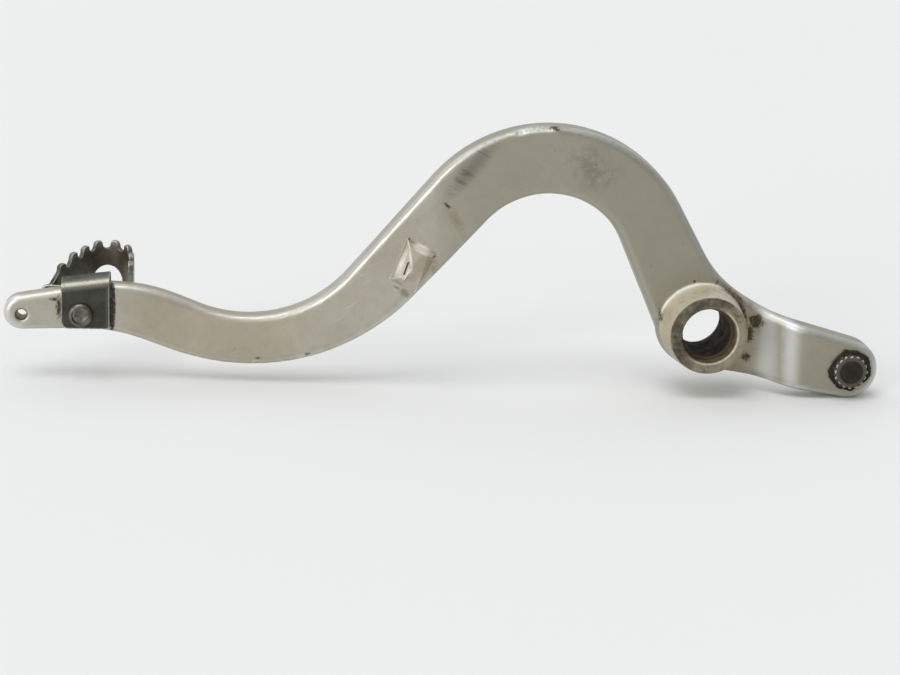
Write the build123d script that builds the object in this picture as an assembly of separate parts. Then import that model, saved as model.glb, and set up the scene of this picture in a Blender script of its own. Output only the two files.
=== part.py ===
# Rear brake pedal of a motorbike: forged alloy lever, bushed pivot, riveted toothed toe and rear pin.
# Frame: pivot bore centre at the origin, pivot axis along Y, toe along -X, Z up, outer side +Y.
import os
from math import asin, atan, atan2, cos, degrees, hypot, radians, sin, sqrt, tan

from build123d import *

os.makedirs("parts", exist_ok=True)

# Pivot boss and its bush
boss_length = 30.0
boss_mouth_r = 14.5
boss_root_r = 16.0
boss_parting_r = 16.6
boss_back_r = 15.0
parting_y = 5.0
boss_edge = 0.9
housing_d = 20.0
housing_chamfer = 0.5
bush_wall = 1.0
bush_recess = 4.0

# Side outline of the lever: heights and radii of its bends, front to rear
tip_x, tip_z, tip_r = -250.5, 0.5, 6.5
toe_under_x, toe_under_z = -228.5, -5.5
toe_crest_x, toe_crest_z = -218.0, 11.5
sweep_x = -169.0
sweep_under_z = -18.0
sweep_top_z = 0.5
sweep_under_share = 0.87
sweep_top_share = 0.76
toe_share = 0.97
arch_x, arch_z = -59.0, 18.5
arch_inner_r = 30.5
arch_width = 25.0
web_r = 15.5
throat_x, throat_z = -7.0, 3.5
throat_share = 1.2
eye_x, eye_z, eye_r = 54.5, -13.5, 11.0

# Plan of the lever: where its two faces stand across the bike
web_near_y = -1.0
web_t = 12.0
toe_near_y = 7.0
toe_t = 9.0
front_bend_x = (-190.0, -100.0)
arm_jog = 11.0
arm_jog_x = (21.0, 34.0)
plan_bend_r = 14.0
edge_r = 2.5

# Stop lug on the near face
lug_x, lug_z = -109.4, 21.8
lug_length, lug_width, lug_height = 15.8, 10.8, 3.2
lug_turn = 64.0
lug_flank = 20.0
lug_slot_length, lug_slot_width, lug_slot_depth = 4.6, 1.0, 1.0
lug_slot_along, lug_slot_across = -1.1, 1.2
lug_ridge = ((5.6, 3.2), (-0.2, -0.9), (-4.2, -0.2))
lug_facet = 20.0

# Hole at the tip and rear pin
tip_hole_d, tip_hole_z = 4.0, -0.1
pin_d = 8.0
pin_eye_d = 9.0
pin_reach = 14.0
pin_chamfer = 0.8
flange_d, flange_t = 16.0, 1.2
collar_d, collar_t = 11.8, 1.3
pin_top_d, pin_top_t = 8.4, 0.9
knurl_count = 16
knurl_r = 0.65

# Toe saddle, rivet and tread
sheet = 2.0
saddle_x = (-236.0, -218.5)
saddle_tilt = 4.0
saddle_bottom_z = -4.8
saddle_bend_r = 1.4
saddle_gap = 0.1
saddle_corner_r = 2.6
plate_x = (-244.0, -210.2)
plate_top_z = 8.9
plate_corner_r = 2.5
rivet_x, rivet_z = -229.0, 0.6
rivet_d = 5.0
rivet_head_d, rivet_head_t = 8.7, 2.1
rivet_dimple_d, rivet_dimple_depth = 5.4, 0.6
rivet_tail_d, rivet_tail_t = 8.0, 1.5
rivet_round = 0.6
tread_foot_x = (-240.0, -211.4)
nose_x, nose_out, nose_r = -220.4, 9.9, 9.0
tread_rise = 15.0
tread_low_z, tread_tip_z = 3.0, 16.4
tooth_pitch, tooth_first = 6.4, 5.0
tooth_depth = 3.1
front_tooth_drop = 1.8
valley_r = 1.5
tooth_round = 1.3
heel_slope = 62.0
mud_arch_r, mud_arch_z = 5.8, 6.0

toe_far_y = toe_near_y + toe_t
web_far_y = web_near_y + web_t
eye_near_y = web_near_y - arm_jog
eye_far_y = web_far_y - arm_jog
arch_outer_r = arch_inner_r + arch_width


# Largest radius that a bend at a given height can have and still leave a straight run to the next bend.
def roomy_radius(across, height, next_r):
    return (across**2 + height**2 - next_r**2) / (2 * (height + next_r))


# Closed outline of circles joined by their common tangents; side is +1 where it bends left, else -1.
def belt(circles, plane):
    touch = []
    for (u, v, r, side), (u2, v2, r2, side2) in zip(circles, circles[1:] + circles[:1]):
        run = hypot(u2 - u, v2 - v)
        way = atan2(v2 - v, u2 - u) - asin((side2 * r2 - side * r) / run)
        across = (-sin(way), cos(way))
        leave = (u - side * r * across[0], v - side * r * across[1])
        reach = (u2 - side2 * r2 * across[0], v2 - side2 * r2 * across[1])
        touch.append((leave, reach))
    edges = []
    for i, (u, v, r, side) in enumerate(circles):
        start, end = touch[i - 1][1], touch[i][0]
        first = atan2(start[1] - v, start[0] - u)
        last = atan2(end[1] - v, end[0] - u)
        turn = (last - first) * side % radians(360) * side
        middle = (u + r * cos(first + turn / 2), v + r * sin(first + turn / 2))
        edges.append(ThreePointArc(start, middle, end))
        edges.append(Line(end, touch[i][1]))
    return plane * make_face(edges)


# Solid of a face in the XZ plane between two places along Y.
def across_y(face, near, far):
    return extrude(Pos(0, near, 0) * face, amount=far - near, dir=(0, 1, 0))


# Cylinder along Y.
def rod(x, z, d, near, far):
    return across_y(Plane.XZ * Pos(x, z) * Circle(d / 2), near, far)


def side_outline():
    under_drop = arch_z - sweep_under_z
    top_drop = arch_z - sweep_top_z
    sweep_under_r = sweep_under_share * roomy_radius(arch_x - sweep_x, under_drop, arch_inner_r)
    sweep_top_r = sweep_top_share * roomy_radius(arch_x - sweep_x, top_drop, arch_outer_r)
    under_run = roomy_radius(sweep_x - toe_under_x, toe_under_z - sweep_under_z, 0)
    top_run = roomy_radius(sweep_x - toe_crest_x, toe_crest_z - sweep_top_z, 0)
    toe_under_r = toe_share * under_run - sweep_under_r
    toe_top_r = toe_share * top_run - sweep_top_r
    reach, drop = throat_x - arch_x, throat_z - arch_z
    half = arch_outer_r - reach - drop
    throat_r = throat_share * (half + sqrt(half**2 + arch_outer_r**2 - reach**2 - drop**2))
    return [
        (tip_x, tip_z, tip_r, 1),
        (toe_under_x, toe_under_z - toe_under_r, toe_under_r, -1),
        (sweep_x, sweep_under_z + sweep_under_r, sweep_under_r, 1),
        (arch_x, arch_z, arch_inner_r, -1),
        (0, 0, web_r, 1),
        (eye_x, eye_z, eye_r, 1),
        (throat_x + throat_r, throat_z + throat_r, throat_r, -1),
        (arch_x, arch_z, arch_outer_r, 1),
        (sweep_x, sweep_top_z + sweep_top_r, sweep_top_r, -1),
        (toe_crest_x, toe_crest_z - toe_top_r, toe_top_r, 1),
    ]


# Lever blank seen from above, with rounded bends.
def plan_face():
    front, rear = tip_x - 3 * tip_r, eye_x + 3 * eye_r
    jog_angle = atan(arm_jog / (arm_jog_x[1] - arm_jog_x[0]))
    set_back = web_t * tan(jog_angle / 2)
    near = [
        (front, toe_near_y),
        (front_bend_x[0], toe_near_y),
        (front_bend_x[1], web_near_y),
        (arm_jog_x[0], web_near_y),
        (arm_jog_x[1], eye_near_y),
        (rear, eye_near_y),
    ]
    far = [
        (rear, eye_far_y),
        (arm_jog_x[1] - set_back, eye_far_y),
        (arm_jog_x[0] - set_back, web_far_y),
        (front_bend_x[1], web_far_y),
        (front_bend_x[0], toe_far_y),
        (front, toe_far_y),
    ]
    near_line = FilletPolyline(*near, radius=plan_bend_r)
    far_line = FilletPolyline(*far, radius=plan_bend_r)
    ends = [Line(near[-1], far[0]), Line(far[-1], near[0])]
    return make_face([near_line, far_line] + ends)


def boss():
    half = boss_length / 2
    profile = Polyline(
        (0, -half),
        (boss_mouth_r, -half),
        (boss_root_r, web_near_y),
        (boss_parting_r, parting_y),
        (boss_back_r, half),
        (0, half),
        close=True,
    )
    solid = revolve(make_face(profile), axis=Axis.Y)
    circles = solid.edges().filter_by(GeomType.CIRCLE)
    rims = [e for e in circles if abs(abs(e.center().Y) - half) < 0.01]
    return fillet(rims, boss_edge)


# Pad with sloped flanks, a broken ridge across its top, two facets that fall away from it and a slot.
def lug():
    base = web_near_y + lug_height
    along = (cos(radians(lug_turn)), 0, sin(radians(lug_turn)))
    place = Plane(origin=(lug_x, base, lug_z), x_dir=along, z_dir=(0, -1, 0))
    top = 2 * lug_height
    solid = extrude(Rectangle(lug_length, lug_width), amount=top, taper=lug_flank)
    for start, end in zip(lug_ridge, lug_ridge[1:]):
        heading = degrees(atan2(end[1] - start[1], end[0] - start[0]))
        above = Pos(0, 0, lug_length) * Box(4 * lug_length, 4 * lug_length, 2 * lug_length)
        solid -= Pos(*start, top) * Rot(0, 0, heading) * Rot(-lug_facet, 0, 0) * above
    slot = Box(lug_slot_length, lug_slot_width, 2 * lug_slot_depth)
    return place * (solid - Pos(lug_slot_along, lug_slot_across, top) * slot)


def lever_forging():
    reach = boss_length
    side = across_y(belt(side_outline(), Plane.XZ), -reach, reach)
    plan = extrude(plan_face(), amount=3 * arch_outer_r, both=True)
    blank = side & plan
    faces = [f for f in blank.faces() if abs(f.normal_at().Y) > 0.5]
    seen = {}
    for face in faces:
        for edge in face.edges():
            key = tuple(round(c, 3) for c in edge.center())
            seen.setdefault(key, []).append(edge)
    rims = [edges[0] for edges in seen.values() if len(edges) == 1]
    blank = fillet(rims, edge_r)
    solid = blank + boss() + lug()
    half = boss_length / 2
    solid -= rod(0, 0, housing_d, -half - 1, half + 1)
    for end, way in ((-half, 1), (half, -1)):
        cone = Cone(housing_d / 2 + housing_chamfer, housing_d / 2, housing_chamfer)
        solid -= Pos(0, end, 0) * Rot(-90 * way, 0, 0) * Pos(0, 0, housing_chamfer / 2) * cone
    solid -= rod(tip_x, tip_hole_z, tip_hole_d, toe_near_y - 1, toe_far_y + 1)
    solid -= rod(rivet_x, rivet_z, rivet_d, toe_near_y - 1, toe_far_y + 1)
    solid -= rod(eye_x, eye_z, pin_eye_d, eye_near_y - 1, eye_far_y + 1)
    return solid


def pivot_bush():
    half = boss_length / 2 - bush_recess
    return rod(0, 0, housing_d, -half, half) - rod(0, 0, housing_d - 2 * bush_wall, -half, half)


def push_rod_pin():
    flange_y = eye_near_y - flange_t
    collar_y = flange_y - collar_t
    top_y = collar_y - pin_top_t
    end_y = eye_far_y + pin_reach
    profile = Polyline(
        (0, top_y),
        (pin_top_d / 2, top_y),
        (collar_d / 2, collar_y),
        (collar_d / 2, flange_y),
        (flange_d / 2, flange_y),
        (flange_d / 2, eye_near_y),
        (pin_eye_d / 2, eye_near_y),
        (pin_eye_d / 2, eye_far_y),
        (pin_d / 2, eye_far_y),
        (pin_d / 2, end_y - pin_chamfer),
        (pin_d / 2 - pin_chamfer, end_y),
        (0, end_y),
        close=True,
    )
    solid = revolve(make_face(profile), axis=Axis.Y)
    for i in range(knurl_count):
        turn = radians(360 * i / knurl_count)
        groove_x = collar_d / 2 * cos(turn)
        groove_z = collar_d / 2 * sin(turn)
        solid -= rod(groove_x, groove_z, 2 * knurl_r, top_y, flange_y)
    return Pos(eye_x, 0, eye_z) * solid


# Sheet folded over the toe: a near leg, a top and a wider far leg that carries the tread.
def toe_saddle():
    tilt = radians(saddle_tilt)
    outline = side_outline()
    crest_x, crest_z, crest_r, _ = outline[-1]
    touch_x = crest_x - crest_r * sin(tilt)
    touch_z = crest_z + crest_r * cos(tilt) + saddle_gap
    middle = (saddle_x[0] + saddle_x[1]) / 2
    under_z = touch_z + (middle - touch_x) * tan(tilt)
    width = saddle_x[1] - saddle_x[0]
    depth = under_z - saddle_bottom_z + sheet
    inner = [(toe_near_y, -depth), (toe_near_y, 0), (toe_far_y, 0), (toe_far_y, -depth)]
    near_y, far_y = toe_near_y - sheet, toe_far_y + sheet
    outer = [(near_y, -depth), (near_y, sheet), (far_y, sheet), (far_y, -depth)]
    inner_line = FilletPolyline(*inner, radius=saddle_bend_r)
    outer_line = FilletPolyline(*outer, radius=saddle_bend_r + sheet)
    feet = [Line(inner[0], outer[0]), Line(inner[-1], outer[-1])]
    profile = make_face([inner_line, outer_line] + feet)
    along = (cos(tilt), 0, sin(tilt))
    fold = extrude(Pos(middle, 0, under_z) * (Plane.YZ * profile), amount=width, dir=along, both=True)
    tall = under_z + 4 * sheet - saddle_bottom_z
    strip = Plane.XZ * Pos(middle, saddle_bottom_z + tall / 2) * Rectangle(width, tall)
    solid = fold & across_y(strip, near_y - sheet, far_y)
    low_front = [
        e
        for e in solid.edges().filter_by(Axis.Y)
        if abs(e.center().X - saddle_x[0]) < 0.01
        and abs(e.center().Z - saddle_bottom_z) < 0.01
        and e.center().Y < toe_near_y
    ]
    solid = fillet(low_front, saddle_corner_r)
    plate_width = plate_x[1] - plate_x[0]
    plate_height = plate_top_z - saddle_bottom_z
    plate_middle = Pos(sum(plate_x) / 2, (plate_top_z + saddle_bottom_z) / 2)
    plate = plate_middle * RectangleRounded(plate_width, plate_height, plate_corner_r)
    solid += across_y(Plane.XZ * plate, toe_far_y, far_y)
    return solid - rod(rivet_x, rivet_z, rivet_d, toe_near_y - 2 * sheet, toe_far_y + 2 * sheet)


def toe_rivet():
    head_y = toe_near_y - sheet
    tail_y = toe_far_y + sheet
    profile = Polyline(
        (0, head_y - rivet_head_t + rivet_dimple_depth),
        (rivet_dimple_d / 2 - rivet_dimple_depth, head_y - rivet_head_t + rivet_dimple_depth),
        (rivet_dimple_d / 2, head_y - rivet_head_t),
        (rivet_head_d / 2 - rivet_round, head_y - rivet_head_t),
        (rivet_head_d / 2, head_y - rivet_head_t + rivet_round),
        (rivet_head_d / 2, head_y),
        (rivet_d / 2, head_y),
        (rivet_d / 2, tail_y),
        (rivet_tail_d / 2, tail_y),
        (rivet_tail_d / 2, tail_y + rivet_tail_t - rivet_round),
        (rivet_tail_d / 2 - rivet_round, tail_y + rivet_tail_t),
        (0, tail_y + rivet_tail_t),
        close=True,
    )
    return Pos(rivet_x, 0, rivet_z) * revolve(make_face(profile), axis=Axis.Y)


# Cutter for the gap between two teeth: a round floor, and shoulders that round the teeth on both sides.
def valley():
    wide = valley_r + tooth_round
    floor = valley_r - tooth_depth
    bend = tooth_round * sin(radians(45))
    edges = [
        ThreePointArc((-wide, 0), (bend - wide, bend - tooth_round), (-valley_r, -tooth_round)),
        Line((-valley_r, -tooth_round), (-valley_r, floor)),
        ThreePointArc((-valley_r, floor), (0, -tooth_depth), (valley_r, floor)),
        Line((valley_r, floor), (valley_r, -tooth_round)),
        ThreePointArc((valley_r, -tooth_round), (wide - bend, bend - tooth_round), (wide, 0)),
        Polyline((wide, 0), (wide, tooth_depth), (-wide, tooth_depth), (-wide, 0)),
    ]
    return extrude(Plane.XZ * make_face(edges), amount=2 * sheet, both=True)


# Toothed strip bent round a nose, standing on the far leg of the saddle and rising outwards.
def toe_tread():
    foot_y = toe_far_y + sheet
    nose = (nose_x, foot_y + nose_out)
    rise = tan(radians(tread_rise))
    lines = []
    for foot_x, hand in ((tread_foot_x[0], 1), (tread_foot_x[1], -1)):
        run = hypot(nose[0] - foot_x, nose_out)
        way = atan2(nose_out, nose[0] - foot_x) + hand * asin(nose_r / run)
        lines.append((foot_x, way, sqrt(run**2 - nose_r**2)))
    (front_x, front_way, front_run), (rear_x, rear_way, rear_run) = lines
    bend = front_way - rear_way + radians(180)

    # Place on the strip's middle line, as x, y and heading, at a distance from the front foot.
    def at(s):
        if s < front_run:
            return front_x + s * cos(front_way), foot_y + s * sin(front_way), front_way
        if s < front_run + nose_r * bend:
            way = front_way - (s - front_run) / nose_r
            return nose[0] - nose_r * sin(way), nose[1] + nose_r * cos(way), way
        left = front_run + nose_r * bend + rear_run - s
        return rear_x + left * cos(rear_way), foot_y + left * sin(rear_way), rear_way - radians(180)

    total = front_run + nose_r * bend + rear_run
    half = sheet / 2
    wall = [(*nose, nose_r + half, 1)]
    hollow = [(*nose, nose_r - half, 1)]
    deep = 4 * sheet
    for foot_x, way, inward in ((front_x, front_way, -1), (rear_x, rear_way, 1)):
        x, y = foot_x - deep * cos(way), foot_y - deep * sin(way)
        wall.append((x, y, half, 1))
        hollow.append((x - inward * sheet * sin(way), y + inward * sheet * cos(way), half, 1))
    tall = 3 * tread_tip_z
    solid = extrude(belt(wall, Plane.XY), amount=tall)
    solid -= extrude(belt(hollow, Plane.XY), amount=tall)
    wide = 4 * nose_r + front_run
    far_y = nose[1] + 2 * nose_r
    band = Polyline(
        (foot_y, tread_low_z),
        (far_y, tread_low_z + (far_y - foot_y) * rise),
        (far_y, tread_tip_z + (far_y - foot_y) * rise),
        (foot_y, tread_tip_z),
        close=True,
    )
    solid &= Pos(nose_x, 0, 0) * extrude(Plane.YZ * make_face(band), amount=wide, both=True)

    for i in range(int((total - tooth_first) // tooth_pitch)):
        x, y, way = at(tooth_first + (i + 0.5) * tooth_pitch)
        tilt = degrees(atan(rise * sin(way)))
        edge_z = tread_tip_z + (y - foot_y) * rise
        solid -= Pos(x, y, edge_z) * Rot(0, 0, degrees(way)) * Rot(0, -tilt, 0) * valley()

    x, y, way = at(tooth_first + tooth_pitch / 2)
    tilt = degrees(atan(rise * sin(way)))
    edge_z = tread_tip_z + (y - foot_y) * rise - front_tooth_drop
    lid = Pos(-wide / 2, 0, wide / 2) * Box(wide, wide, wide)
    solid -= Pos(x, y, edge_z) * Rot(0, 0, degrees(way)) * Rot(0, -tilt, 0) * lid

    x, y, way = at(tooth_first - tooth_pitch / 2 + valley_r)
    heel = Pos(-wide / 2, 0, 0) * Box(wide, wide, wide)
    solid -= Pos(x, y, tread_tip_z) * Rot(0, 0, degrees(way)) * Rot(0, 90 - heel_slope, 0) * heel
    solid -= rod(nose_x, mud_arch_z, 2 * mud_arch_r, nose[1], far_y)
    return solid


for name, make in (
    ("lever_forging", lever_forging),
    ("pivot_bush", pivot_bush),
    ("toe_saddle", toe_saddle),
    ("toe_tread", toe_tread),
    ("toe_rivet", toe_rivet),
    ("push_rod_pin", push_rod_pin),
):
    export_step(make(), f"parts/{name}.step")
    print(name)
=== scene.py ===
import math
import bmesh
import bpy
import numpy as np
from mathutils import Matrix, Vector, noise
from types import SimpleNamespace


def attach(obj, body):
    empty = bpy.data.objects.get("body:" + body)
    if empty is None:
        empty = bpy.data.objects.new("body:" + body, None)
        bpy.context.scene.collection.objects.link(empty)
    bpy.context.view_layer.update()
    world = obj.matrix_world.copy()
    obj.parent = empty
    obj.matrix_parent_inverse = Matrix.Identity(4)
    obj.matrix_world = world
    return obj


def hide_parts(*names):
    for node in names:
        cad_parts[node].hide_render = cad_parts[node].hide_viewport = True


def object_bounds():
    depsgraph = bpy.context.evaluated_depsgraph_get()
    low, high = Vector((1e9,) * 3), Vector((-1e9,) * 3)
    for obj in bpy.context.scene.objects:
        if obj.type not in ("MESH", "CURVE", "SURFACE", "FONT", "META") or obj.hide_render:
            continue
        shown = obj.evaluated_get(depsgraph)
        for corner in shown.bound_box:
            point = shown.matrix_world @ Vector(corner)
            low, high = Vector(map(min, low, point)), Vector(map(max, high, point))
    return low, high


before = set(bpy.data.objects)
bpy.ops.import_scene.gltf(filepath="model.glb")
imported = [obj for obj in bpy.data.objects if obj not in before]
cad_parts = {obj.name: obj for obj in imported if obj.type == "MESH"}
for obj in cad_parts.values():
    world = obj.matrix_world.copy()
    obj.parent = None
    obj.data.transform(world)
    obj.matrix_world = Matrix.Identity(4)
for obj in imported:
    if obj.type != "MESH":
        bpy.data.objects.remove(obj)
cadBox = [list(corner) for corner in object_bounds()]
mm = 0.001
weldGap = 0.002 * mm  # points nearer than this become one
print("frame loaded:", ", ".join(sorted(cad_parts)))


# Node helpers: a feed is either a plain value or another node's output
def feed(tree, socket, value):
    if isinstance(value, bpy.types.NodeSocket):
        tree.links.new(value, socket)
    else:
        socket.default_value = value


def addNode(tree, kind, settings=None, **feeds):
    node = tree.nodes.new(kind)
    for key, value in (settings or {}).items():
        setattr(node, key, value)
    for name, value in feeds.items():
        feed(tree, node.inputs[name.replace("_", " ")], value)
    return node


def calc(tree, operation, first, second=0.0):
    node = addNode(tree, "ShaderNodeMath", {"operation": operation})
    feed(tree, node.inputs[0], first)
    feed(tree, node.inputs[1], second)
    return node.outputs[0]


def chain(tree, operation, parts):
    result = parts[0]
    for part in parts[1:]:
        result = calc(tree, operation, result, part)
    return result


def product(tree, *parts):
    return chain(tree, "MULTIPLY", parts)


def unionMask(tree, masks):
    return chain(tree, "MAXIMUM", masks)


def vectorCalc(tree, operation, first, second):
    node = addNode(tree, "ShaderNodeVectorMath", {"operation": operation})
    feed(tree, node.inputs[0], first)
    feed(tree, node.inputs[1], second)
    return node.outputs["Vector"]


def lengthOf(tree, vector):
    node = addNode(tree, "ShaderNodeVectorMath", {"operation": "LENGTH"})
    feed(tree, node.inputs[0], vector)
    return node.outputs["Value"]


def axisDistance(tree, place, x, z):
    # distance from a line along Y
    offset = vectorCalc(tree, "SUBTRACT", place, (x, 0, z))
    return lengthOf(tree, vectorCalc(tree, "MULTIPLY", offset, (1, 0, 1)))


def turnSide(tree, vector, angle):
    # turned about Y, as the side view shows it
    settings = {"rotation_type": "Y_AXIS"}
    return addNode(tree, "ShaderNodeVectorRotate", settings, Vector=vector, Angle=angle).outputs[0]


def spread(tree, value, low, high, start=0.0, end=1.0):
    node = addNode(
        tree, "ShaderNodeMapRange", {"interpolation_type": "SMOOTHSTEP"},
        Value=value, From_Min=low, From_Max=high, To_Min=start, To_Max=end,
    )
    return node.outputs["Result"]


def bandMask(tree, value, middle, far, near, end=1.0):
    # strongest where a value is at its middle, fading on both sides
    away = calc(tree, "ABSOLUTE", calc(tree, "SUBTRACT", value, middle))
    return spread(tree, away, far, near, 0.0, end)


def mixColor(tree, amount, first, second):
    node = addNode(tree, "ShaderNodeMix", {"data_type": "RGBA"})
    feed(tree, node.inputs[0], amount)
    feed(tree, node.inputs[6], first)
    feed(tree, node.inputs[7], second)
    return node.outputs[2]


def mixValue(tree, amount, first, second):
    node = addNode(tree, "ShaderNodeMix", {"data_type": "FLOAT"})
    feed(tree, node.inputs[0], amount)
    feed(tree, node.inputs[2], first)
    feed(tree, node.inputs[3], second)
    return node.outputs[0]


def noiseAt(tree, place, scale, detail=3.0, roughness=0.55):
    node = addNode(
        tree, "ShaderNodeTexNoise", None,
        Vector=place, Scale=scale, Detail=detail, Roughness=roughness,
    )
    return node.outputs["Fac"]


def tone(red, green, blue):
    # colour given as 0..255, turned into the linear value that sockets hold
    return (*[((c / 255 + 0.055) / 1.055) ** 2.4 for c in (red, green, blue)], 1.0)


# Shared effects, each a node group; lengths in them are millimetres
def makeGroup(name, vectors, values, outputs):
    tree = bpy.data.node_groups.new(name, "ShaderNodeTree")
    sockets = [
        ("INPUT", "NodeSocketVector", ["Place"] + vectors),
        ("INPUT", "NodeSocketFloat", values),
        ("OUTPUT", "NodeSocketFloat", outputs),
    ]
    for way, kind, labels in sockets:
        for label in labels:
            tree.interface.new_socket(label, in_out=way, socket_type=kind)
    return tree, tree.nodes.new("NodeGroupInput").outputs, tree.nodes.new("NodeGroupOutput").inputs


def makePatchGroup():
    # a worn or dirty place: an ellipsoid whose rim is broken up by noise
    tree, given, out = makeGroup(
        "raggedPatch", ["Centre", "Radii"], ["Turn", "Ragged", "Grain", "Softness"], ["Mask"]
    )
    offset = vectorCalc(tree, "SUBTRACT", given["Place"], given["Centre"])
    turned = turnSide(tree, offset, given["Turn"])
    reach = lengthOf(tree, vectorCalc(tree, "DIVIDE", turned, given["Radii"]))
    rough = calc(tree, "SUBTRACT", noiseAt(tree, given["Place"], given["Grain"], 4.0, 0.65), 0.5)
    reach = calc(tree, "ADD", reach, product(tree, rough, given["Ragged"]))
    feed(tree, out["Mask"], spread(tree, reach, 1.0, calc(tree, "SUBTRACT", 1.0, given["Softness"])))
    return tree


def makeGrainGroup():
    # fine blasted skin for the bump, with slow cloudy patches for the colour
    tree, given, out = makeGroup("blastedGrain", [], ["Fine", "Cloud"], ["Height", "Cloud"])
    feed(tree, out["Height"], noiseAt(tree, given["Place"], given["Fine"], 4.0, 0.6))
    cloud = noiseAt(tree, given["Place"], given["Cloud"], 5.0, 0.6)
    feed(tree, out["Cloud"], spread(tree, cloud, 0.32, 0.68))
    return tree


def makeScratchGroup():
    # thin lines in one direction of the side view
    tree, given, out = makeGroup("fineScratches", ["Stretch"], ["Turn", "Amount"], ["Mask"])
    turned = turnSide(tree, given["Place"], given["Turn"])
    drawn = vectorCalc(tree, "MULTIPLY", turned, given["Stretch"])
    lines = noiseAt(tree, drawn, 1.0, 2.0, 0.5)
    edge = calc(tree, "SUBTRACT", 0.78, product(tree, given["Amount"], 0.3))
    feed(tree, out["Mask"], spread(tree, lines, edge, calc(tree, "ADD", edge, 0.08)))
    return tree


def makeSpeckGroup():
    # scattered pits and specks
    tree, given, out = makeGroup("specks", [], ["Scale", "Amount"], ["Mask"])
    dots = noiseAt(tree, given["Place"], given["Scale"], 3.0, 0.7)
    edge = calc(tree, "SUBTRACT", 0.75, product(tree, given["Amount"], 0.3))
    feed(tree, out["Mask"], spread(tree, dots, edge, calc(tree, "ADD", edge, 0.07)))
    return tree


patchGroup = makePatchGroup()
grainGroup = makeGrainGroup()
scratchGroup = makeScratchGroup()
speckGroup = makeSpeckGroup()


def useGroup(tree, group, **feeds):
    node = tree.nodes.new("ShaderNodeGroup")
    node.node_tree = group
    for name, value in feeds.items():
        feed(tree, node.inputs[name], value)
    return node.outputs


# Finish helpers: a finish under way keeps its tree, tables, colour and what is read at each point
def startFinish(name, look):
    finish = bpy.data.materials.new(name)
    finish.use_nodes = True
    tree = finish.node_tree
    coords = addNode(tree, "ShaderNodeTexCoord").outputs["Object"]
    place = vectorCalc(tree, "MULTIPLY", coords, (1 / mm, 1 / mm, 1 / mm))
    x, y, z = addNode(tree, "ShaderNodeSeparateXYZ", None, Vector=place).outputs
    bend = addNode(tree, "ShaderNodeAttribute", {"attribute_name": "bend"}).outputs["Fac"]
    grain = useGroup(tree, grainGroup, Place=place, Fine=look["fine"], Cloud=look["cloud"])
    return SimpleNamespace(
        finish=finish, tree=tree, bsdf=tree.nodes["Principled BSDF"].inputs, look=look,
        place=place, x=x, y=y, z=z, bend=bend, skin=grain["Height"], cloud=grain["Cloud"],
    )


def endFinish(at, metallic, rough, height, strength, depth):
    bump = addNode(at.tree, "ShaderNodeBump", None, Strength=strength, Distance=depth * mm, Height=height)
    feed(at.tree, at.bsdf["Base Color"], at.color)
    feed(at.tree, at.bsdf["Metallic"], metallic)
    feed(at.tree, at.bsdf["Roughness"], rough)
    feed(at.tree, at.bsdf["Normal"], bump.outputs["Normal"])
    return at.finish


def blend(at, amount, first, second):
    tones = at.look["tones"]
    return mixColor(at.tree, amount, tone(*tones[first]), tone(*tones[second]))


def paint(at, ink, *masks):
    # one more layer where all its masks meet; the ink is a tone's name or a blend
    color = tone(*at.look["tones"][ink]) if isinstance(ink, str) else ink
    at.color = mixColor(at.tree, product(at.tree, *masks), at.color, color)


def fade(at, name, start=0.0, end=1.0):
    # a zone says what it reads, where it begins and where it is complete
    axis, low, high = at.look["zones"][name]
    return spread(at.tree, getattr(at, axis), low, high, start, end)


def ringAt(at, name, end=1.0):
    return bandMask(at.tree, at.radius, *at.look["rings"][name], end)


def patchMask(at, mark):
    return useGroup(
        at.tree, patchGroup, Place=at.place, Centre=mark["at"], Radii=mark["size"],
        Turn=math.radians(mark.get("turn", 0)), Ragged=mark.get("ragged", 0.8),
        Grain=mark.get("grain", 0.6), Softness=mark.get("soft", 1.0),
    )["Mask"]


def marked(at, name):
    return unionMask(at.tree, [patchMask(at, mark) for mark in at.look["marks"][name]])


def scratchesAt(at, turn, stretch, amount):
    return useGroup(
        at.tree, scratchGroup, Place=at.place, Turn=math.radians(turn), Stretch=stretch, Amount=amount
    )["Mask"]


def specksAt(at, scale, amount):
    return useGroup(at.tree, speckGroup, Place=at.place, Scale=scale, Amount=amount)["Mask"]


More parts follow.
